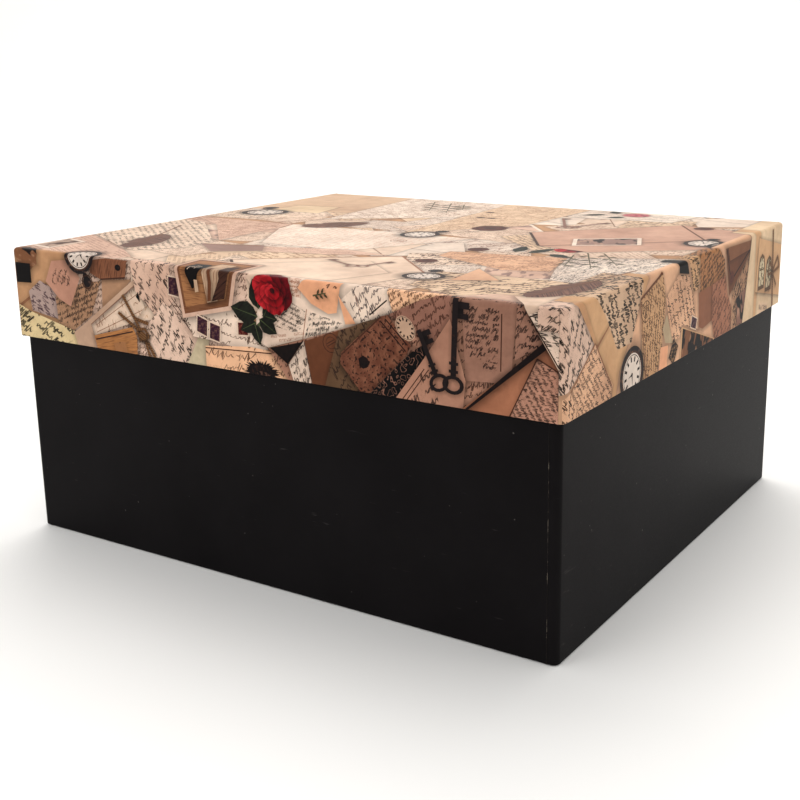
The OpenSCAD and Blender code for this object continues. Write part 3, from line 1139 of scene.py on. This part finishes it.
# The right skirt beyond the clip: envelopes, the framed picture, the card with its bow.
lay(right, """
written honey black p5 w0.9 t-60 : -12,-6 8,-6 6,18 -2,18
written kraft ink p2.7 w0.7 t20 s0.5 : 6,-6 28,-6 45,8 47,18 8,20
plain rust dusk s0.5 : 6,20 27,19 28,39 14,41 8,39
written clay umber p3.6 w0.6 t30 s0.5 : 27,19 48,17 52,28 75,56 35,56 28,39
written fawn ink p3.4 w0.75 t30 s0.5 : 60,24 92,10 84,40 78,56 60,56
photo dusk black : 67,34 84,30 80,50 70,50
picture honey leather black 1.4 : -17,34 33,50 33,60 -19,60
plain black night s0.2 : -6,44 4,48 4,60 -6,60
postage mauve plum : -3,30 6,33.5 4,40 -5,37
plain brown umber s0.6 r4 : 46,2 91,4 92,8 55,30
plain leather dusk : 50,2 90,3 90,8 54,10
line night 0.9 0.15 : 48,3 57,22 91,7
seal 3.6 : 58,20
""")

# The pale panel, its fold, and the card with two arched windows.
lay(right, """
plain sand honey s0.5 : 93,-12 160,-12 160,56 79,56 88,15
plain honey tan s0.35 : 98,-12 109,-12 104,54 100,54
plain honey sand s0.6 : 105,4 156,15 156,47 102,36
window : 112,24
window : 126,27
typed cream ink p5 s0 : 110,44 126,47 126,53 110,51
twist 2.2 : 131,2 134,28 137,54
twist 1.8 : 134,28 127,21 125,29 134,29
twist 1.8 : 134,28 143,20 147,27 135,29
twist 1.6 : 134,29 128,39
twist 1.6 : 134,29 142,38
""")

# ---------------------------------------------------------------- folding the sheets

NEAR = 0.001            # a folded section's stations lie at least this far apart
MERGE = 0.002           # points of a flat sheet nearer than this become one
SLIVER = 1e-6           # triangles smaller than this are left out


def section(points, radii, steps=5):
    """Stations along a folded section given by its corners (inset, level), all right angles.

    Gives the run along the paper, the inset, the level, and the outward normal's two parts."""
    corners = [np.array((-inset, z)) for inset, z in points]
    ways = [(b - a) / np.hypot(*(b - a)) for a, b in zip(corners, corners[1:])]
    normals = [np.array((-way[1], way[0])) for way in ways]
    places, facing = [corners[0]], [normals[0]]
    for i, radius in enumerate(radii):
        centre = corners[i + 1] - ways[i] * radius + ways[i + 1] * radius
        for step in range(steps + 1):
            angle = math.pi / 2 * step / steps
            normal = normals[i] * math.cos(angle) + normals[i + 1] * math.sin(angle)
            place = centre + normal * radius
            if np.hypot(*(place - places[-1])) > NEAR:
                places.append(place)
                facing.append(normal)
            else:
                facing[-1] = normal
    places, facing = np.array(places + [corners[-1]]), np.array(facing + [normals[-1]])
    run = np.concatenate([[0], np.cumsum(np.hypot(*np.diff(places, axis=0).T))])
    return run, -places[:, 0], places[:, 1], facing[:, 0], facing[:, 1]


def quarter(points, count):
    """Points turned by a number of right angles."""
    c, s = ((1, 0), (0, 1), (-1, 0), (0, -1))[count % 4]
    return np.stack([points[:, 0] * c - points[:, 1] * s, points[:, 0] * s + points[:, 1] * c], 1)


class Side:
    """One upright side: how its part of the flat sheet folds into place."""

    def __init__(self, number, sizes, path, edge, lap):
        half_x, half_y, flat_x, flat_y = sizes
        facing_y = number % 2 == 0
        self.number, self.path, self.edge, self.lap = number, path, edge, lap
        self.half, self.depth = (half_x, half_y) if facing_y else (half_y, half_x)
        self.flat = flat_y if facing_y else flat_x

    def to_sheet(self, points):
        return quarter(np.stack([points[:, 0], -self.flat - points[:, 1]], 1), self.number)

    def from_sheet(self, points):
        local = quarter(points, -self.number)
        return np.stack([local[:, 0], -local[:, 1] - self.flat], 1)

    def raised(self, along):
        """How far the lap near the sheet's edge lifts the paper, or sinks it."""
        rise, before, ramp = self.lap
        return rise * np.clip((along - self.edge + before) / ramp, 0, 1)

    def fold(self, points):
        """Places and normals in the frame, in millimetres."""
        run, *rows = self.path
        inset, level, out, up = (np.interp(points[:, 1], run, row) for row in rows)
        along, sign = np.abs(points[:, 0]), np.sign(points[:, 0])
        straight = self.half - CORNER
        angle = np.clip((along - straight) / CORNER, 0, math.pi / 2)
        past = np.maximum(along - straight - CORNER_ARC, 0)
        radius = CORNER - inset
        flat = np.stack([sign * (np.minimum(along, straight) + radius * np.sin(angle)),
                         -(self.depth - CORNER) - radius * np.cos(angle) + past], 1)
        facing = np.stack([sign * np.sin(angle), -np.cos(angle)], 1) * out[:, None]
        flat, facing = quarter(flat, self.number), quarter(facing, self.number)
        normals = np.column_stack([facing, up])
        normals /= np.maximum(np.linalg.norm(normals, axis=1)[:, None], TINY)
        return np.column_stack([flat, level]) + normals * self.raised(along)[:, None], normals


class Flat:
    """A level part of the sheet."""

    def __init__(self, level, up=1.0):
        self.level, self.up = level, up

    def to_sheet(self, points):
        return points

    from_sheet = to_sheet

    def fold(self, points):
        places = np.column_stack([points, np.full(len(points), self.level)])
        return places, np.tile((0.0, 0.0, self.up), (len(points), 1))


def outlines(outline, lines, items, part):
    """Every point and edge that a part of the sheet is cut along, and which items reach it."""
    points, edges, used = [], [], []

    def take(loop, closed=True):
        start, count = len(points), len(loop)
        points.extend(Vector(p) for p in loop)
        edges.extend((start + i, start + (i + 1) % count) for i in range(count - (not closed)))

    for loop in outline.loops:
        take(loop)
    for line in lines:
        take(line, closed=False)
    low, high = outline.loops[0].min(0), outline.loops[0].max(0)
    for number, item in enumerate(items[1:], 1):
        local = [part.from_sheet(loop) for loop in item.loops]
        if (local[0].max(0) < low - item.reach).any() or (local[0].min(0) > high + item.reach).any():
            continue
        used.append(number)
        for loop in local:
            take(loop)
        if item.shadow:
            take(part.from_sheet(item.ring()))
    return points, edges, used


def cut(outline, lines, items, part):
    """Cuts a part of the sheet into triangles along its folds and along every outline drawn on
    it. Each triangle's owner is the topmost item there; items[0] is the ground of them all."""
    points, edges, used = outlines(outline, lines, items, part)
    made = geometry.delaunay_2d_cdt(points, edges, [], 0, MERGE)
    flat = np.array([tuple(p) for p in made[0]])
    triangles = np.array(made[2])
    middle = flat[triangles].mean(1)
    a, b, c = (flat[triangles[:, i]] for i in range(3))
    area = np.abs((b - a)[:, 0] * (c - a)[:, 1] - (b - a)[:, 1] * (c - a)[:, 0])
    kept = outline.inside(middle) & (area > SLIVER)
    present, triangles = np.unique(triangles[kept], return_inverse=True)
    triangles = triangles.reshape(-1, 3)
    sheet_middle = part.to_sheet(middle[kept])
    owner = np.zeros(len(triangles), int)
    for number in used:
        owner[items[number].inside(sheet_middle)] = number
    return flat[present], triangles, owner, used


def shadows(corners, owner, items, used):
    """How much light is left at each corner under the soft shadows of the things above it."""
    light = np.ones(len(corners))
    for number in used:
        item = items[number]
        if not item.shadow:
            continue
        low = item.loops[0].min(0) - item.reach - 1
        high = item.loops[0].max(0) + item.reach + 1
        near = (owner < number) & (corners > low).all(1) & (corners < high).all(1)
        if near.any():
            away = item.distance(corners[near] - DROP) / item.reach
            light[near] *= 1 - item.shadow * np.clip(1 - away, 0, 1) ** 1.5
    return light


def open_edges(triangles):
    """The edges that only one triangle has."""
    directed = np.concatenate([triangles[:, [0, 1]], triangles[:, [1, 2]], triangles[:, [2, 0]]])
    present = set(map(tuple, directed.tolist()))
    return sorted((i, j) for i, j in present if (j, i) not in present)


MATERIALS = {
    "back": plain_paper("paper_back", "cfc6b8", "b9afa0", 0.7),
    "core": cut_edge(),
    "black": black_paper(),
}


def material(style):
    if style not in MATERIALS:
        MATERIALS[style] = print_material(style)
    return MATERIALS[style]


def set_materials(mesh, styles, rim_count):
    """The outer faces have their items' own materials, then come the inner faces and the rim."""
    slots = sorted(set(styles))
    for style in slots + ["back", "core"]:
        mesh.materials.append(material(style))
    index = [slots.index(style) for style in styles]
    index += [len(slots)] * len(styles) + [len(slots) + 1] * rim_count
    mesh.polygons.foreach_set("material_index", index)
    mesh.polygons.foreach_set("use_smooth", [True] * len(index))


def set_print(mesh, items, owner, corners, used):
    """Stores at each corner of the outer faces what the patterns need there."""
    spare = len(mesh.loops) - len(corners)      # the corners of the inner faces and the rim
    owner = np.repeat(owner, 3)
    origin, along, down, tone, ink, hand = (
        np.array([getattr(item, key) for item in items])[owner]
        for key in ("origin", "along", "down", "tone", "ink", "hand"))
    offset = corners - origin
    level = np.zeros(len(corners))
    rows = {
        "art": np.column_stack([(offset * along).sum(1), (offset * down).sum(1), level]),
        "sheet": np.column_stack([corners, level]), "tone": tone, "ink": ink, "hand": hand,
    }
    for key, row in rows.items():
        row = np.concatenate([row, np.zeros((spare, 3))])
        mesh.attributes.new(key, "FLOAT_VECTOR", "CORNER").data.foreach_set("vector", row.ravel())
    light = np.concatenate([shadows(corners, owner, items, used), np.ones(spare)])
    mesh.attributes.new("shade", "FLOAT", "CORNER").data.foreach_set("value", light)


def set_normals(mesh, places, normals, triangles, rim):
    """Smooth normals on both faces of the paper, square ones round its rim."""
    side = []
    for i, j in rim:
        across = np.cross(places[j] - places[i], normals[i])
        side += [across / max(np.linalg.norm(across), TINY)] * 4
    outer, inner = normals[triangles.ravel()], -normals[triangles[:, ::-1].ravel()]
    mesh.normals_split_custom_set(np.concatenate([outer, inner, side]).tolist())


def make_sheet(name, owned, outline, lines, items, part):
    """Builds one closed, thin piece of paper and joins it to its body."""
    body, node, slot = owned
    flat, triangles, owner, used = cut(outline, lines, items, part)
    places, normals = part.fold(flat)
    a, b, c = (places[triangles[:, i]] for i in range(3))
    wrong = (np.cross(b - a, c - a) * normals[triangles[:, 0]]).sum(1) < 0
    triangles[wrong] = triangles[wrong][:, ::-1]
    rim = open_edges(triangles)
    count = len(flat)
    faces = triangles.tolist() + (triangles[:, ::-1] + count).tolist()
    faces += [(i, i + count, j + count, j) for i, j in rim]
    mesh = bpy.data.meshes.new(name)
    mesh.from_pydata((np.concatenate([places, places - normals * PAPER]) * MM).tolist(), [], faces)
    piece = bpy.data.objects.new(name, mesh)
    bpy.context.collection.objects.link(piece)
    set_materials(mesh, [items[number].style for number in owner], len(rim))
    set_print(mesh, items, owner, part.to_sheet(flat[triangles.ravel()]), used)
    set_normals(mesh, places, normals, triangles, rim)
    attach(piece, body)
    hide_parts(node)


def rounded(half_x, half_y, radius, steps=CORNER_STEPS):
    """The outline of a rectangle with rounded corners."""
    loop = []
    for number, (sx, sy) in enumerate(((1, -1), (1, 1), (-1, 1), (-1, -1))):
        for i in range(steps + 1):
            angle = math.pi / 2 * (number - 1 + i / steps)
            loop.append((sx * (half_x - radius) + radius * math.cos(angle),
                         sy * (half_y - radius) + radius * math.sin(angle)))
    return loop


def make_sides(owned, sizes, path, seam, items):
    """The four upright sheets. The end sheets turn the corners; the front and back sheets lap
    over them and end with a cut edge, which lies `seam` beyond the straight part of the side."""
    run = path[0]
    for number, side_name in enumerate(("front", "right", "back", "left")):
        over = number % 2 == 0
        straight = sizes[number % 2] - CORNER
        edge = straight + seam if over else straight + CORNER_ARC - seam
        end = edge if over else edge + LAP_UNDER_RUN
        lap = LAP_OVER if over else LAP_UNDER
        stops = [i * GRID for i in range(int(straight / GRID) + 1)]
        stops += [straight + CORNER_ARC / CORNER_STEPS * i for i in range(CORNER_STEPS + 1)]
        stops += [edge - lap[1], edge - lap[1] + lap[2]]
        stops = sorted({s for s in stops if 0 <= s < end - 0.01})
        outline = Shape([[(-end, 0), (end, 0), (end, run[-1]), (-end, run[-1])]])
        lines = [[(-end, t), (end, t)] for t in run[1:-1]]
        lines += [[(s * way, 0), (s * way, run[-1])] for s in stops for way in ((1, -1) if s else (1,))]
        make_sheet(owned[1] + "_" + side_name, owned, outline, lines, items,
                   Side(number, sizes, path, edge, lap))


# the lid: a level sheet on top, then four skirts that turn in at the bottom edge
PRINTED = ("lid", "lid_wrap", "printed_paper")


def make_lid_wrap():
    path = section([(TOP_FOLD, LID_TOP), (0, LID_TOP), (0, SKIRT_Z), (WALL, SKIRT_Z),
                    (WALL, SKIRT_Z + LID_TURN_IN)], [TOP_FOLD, SOFT_FOLD, SOFT_FOLD])
    across, back = int(FLAT_X / GRID), int(FLAT_Y / GRID)
    lines = [[(i * GRID, -FLAT_Y), (i * GRID, FLAT_Y)] for i in range(-across, across + 1)]
    lines += [[(-FLAT_X, i * GRID), (FLAT_X, i * GRID)] for i in range(-back, back + 1)]
    outline = Shape([rounded(FLAT_X, FLAT_Y, CORNER - TOP_FOLD)])
    make_sheet("lid_wrap_top", PRINTED, outline, lines, ITEMS, Flat(LID_TOP))
    make_sides(PRINTED, (LID_X, LID_Y, FLAT_X, FLAT_Y), path, LID_SEAM, ITEMS)


# the tray: four black sheets that lap over the rim, and a flat turn-in under the bottom
BLACK = ("base", "base_wrap", "black_paper")
TRAY_SIZES = (TRAY_X, TRAY_Y, TRAY_X, TRAY_Y)


def make_nick(path):
    """The worn spot on the tray's right side, near the far corner: a chip of bare paper core."""
    x, t = TRAY_Y - CORNER + 3.0, RIM_TURN_IN + WALL + 76.0
    nick = [(-2.4, 0.2), (-0.8, -0.5), (1.0, -0.3), (2.6, -0.7), (2.1, 0.5), (0.4, 0.4), (-1.0, 0.8)]
    outline = Shape([[(x + a, t + b) for a, b in nick]])
    lines = [[(x + a, t - 2), (x + a, t + 2)] for a in (-1.8, -0.9, 0, 0.9, 1.8)]
    chip = Item([WHOLE], "core", "night", shadow=0.0)
    make_sheet("base_wrap_nick", BLACK, outline, lines, [chip],
               Side(1, TRAY_SIZES, path, 0, (NICK_LIFT, 0, 1)))


def make_base_wrap():
    ground = [Item([WHOLE], "black", "night", shadow=0.0)]
    path = section([(WALL, RIM_Z - RIM_TURN_IN), (WALL, RIM_Z), (0, RIM_Z), (0, TRAY_LOW),
                    (UNDER_START, TRAY_LOW)], [SOFT_FOLD, SOFT_FOLD, UNDER_FOLD])
    make_sides(BLACK, TRAY_SIZES, path, TRAY_SEAM, ground)
    make_nick(path)
    under = Shape([rounded(TRAY_X - by, TRAY_Y - by, 0.3, 2) for by in (UNDER_START, UNDER_TURN_IN)])
    make_sheet("base_wrap_bottom", BLACK, under, [], ground, Flat(TRAY_LOW, -1.0))


make_lid_wrap()
make_base_wrap()

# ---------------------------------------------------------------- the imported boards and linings


def paint_nodes():
    """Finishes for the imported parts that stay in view."""
    board = board_material()
    chosen = {
        "stays": plain_paper("stay_tape", "c9b48c", "b79f74", 0.75),
        "lining": plain_paper("lining_paper", "ded6c6", "d2c9b6", 0.65),
        "bottom_sheet": plain_paper("bottom_paper", "2a2727", "201d1d", 0.6),
    }
    for name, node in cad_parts.items():
        finish = next((m for key, m in chosen.items() if name.endswith(key)), board)
        node.data.materials.clear()
        node.data.materials.append(finish)


paint_nodes()

# ---------------------------------------------------------------- floor and light, in metres

FLOOR_SIDE = 6.0        # the floor's half width
FLOOR_FRONT = -3.0
FLOOR_BACK = 1.6        # the floor starts to curve up here,
SWEEP = 0.8             # with this radius,
WALL_TOP = 4.0          # into a wall this high


def add_floor():
    """A pale table top that runs back to a white wall with no edge between them."""
    rows = [(FLOOR_FRONT, 0.0), (FLOOR_BACK, 0.0)]
    rows += [(FLOOR_BACK + SWEEP * math.sin(a), SWEEP - SWEEP * math.cos(a))
             for a in (math.pi / 2 * i / 10 for i in range(1, 11))]
    rows += [(FLOOR_BACK + SWEEP, WALL_TOP)]
    points = [(x, y, z) for y, z in rows for x in (-FLOOR_SIDE, FLOOR_SIDE)]
    faces = [(2 * i, 2 * i + 1, 2 * i + 3, 2 * i + 2) for i in range(len(rows) - 1)]
    mesh = bpy.data.meshes.new("floor")
    mesh.from_pydata(points, [], faces)
    mesh.polygons.foreach_set("use_smooth", [True] * len(faces))
    floor = bpy.data.objects.new("floor", mesh)
    bpy.context.collection.objects.link(floor)
    floor.rotation_euler[2] = math.radians(32)
    sh = Shader("floor_paper")
    cloud = sh.spread(sh.noise(sh.place(), 3.0, 3.0))
    mesh.materials.append(sh.finish(sh.blend(cloud, linear("f4f3f1"), linear("f0efed")), 0.75, 0.2))


def add_light(name, place, width, height, power, colour):
    """A rectangular lamp that faces the middle of the box."""
    data = bpy.data.lights.new(name, "AREA")
    data.shape = "RECTANGLE"
    data.size, data.size_y = width, height
    data.energy = power
    data.color = colour
    light = bpy.data.objects.new(name, data)
    bpy.context.collection.objects.link(light)
    light.location = place
    way = Vector((0, 0, 0.1)) - Vector(place)
    light.rotation_euler = way.to_track_quat("-Z", "Y").to_euler()


def light_scene():
    """Soft studio light: a large lamp overhead, one to the right, and a gentle fill."""
    world = bpy.data.worlds.new("studio")
    bpy.context.scene.world = world
    world.use_nodes = True
    sky = world.node_tree.nodes["Background"].inputs
    sky["Color"].default_value = (1.0, 1.0, 1.0, 1.0)
    sky["Strength"].default_value = 0.9
    add_light("lamp_top", (-0.5, 0.9, 1.9), 1.6, 1.6, 30.0, (1.0, 0.98, 0.95))
    add_light("lamp_right", (1.9, 0.2, 0.9), 1.2, 1.0, 3.0, (1.0, 0.90, 0.76))
    add_light("lamp_front", (-0.9, -1.9, 1.0), 1.2, 1.0, 6.0, (1.0, 0.97, 0.94))
    bpy.context.scene.view_settings.view_transform = "Standard"


add_floor()
light_scene()
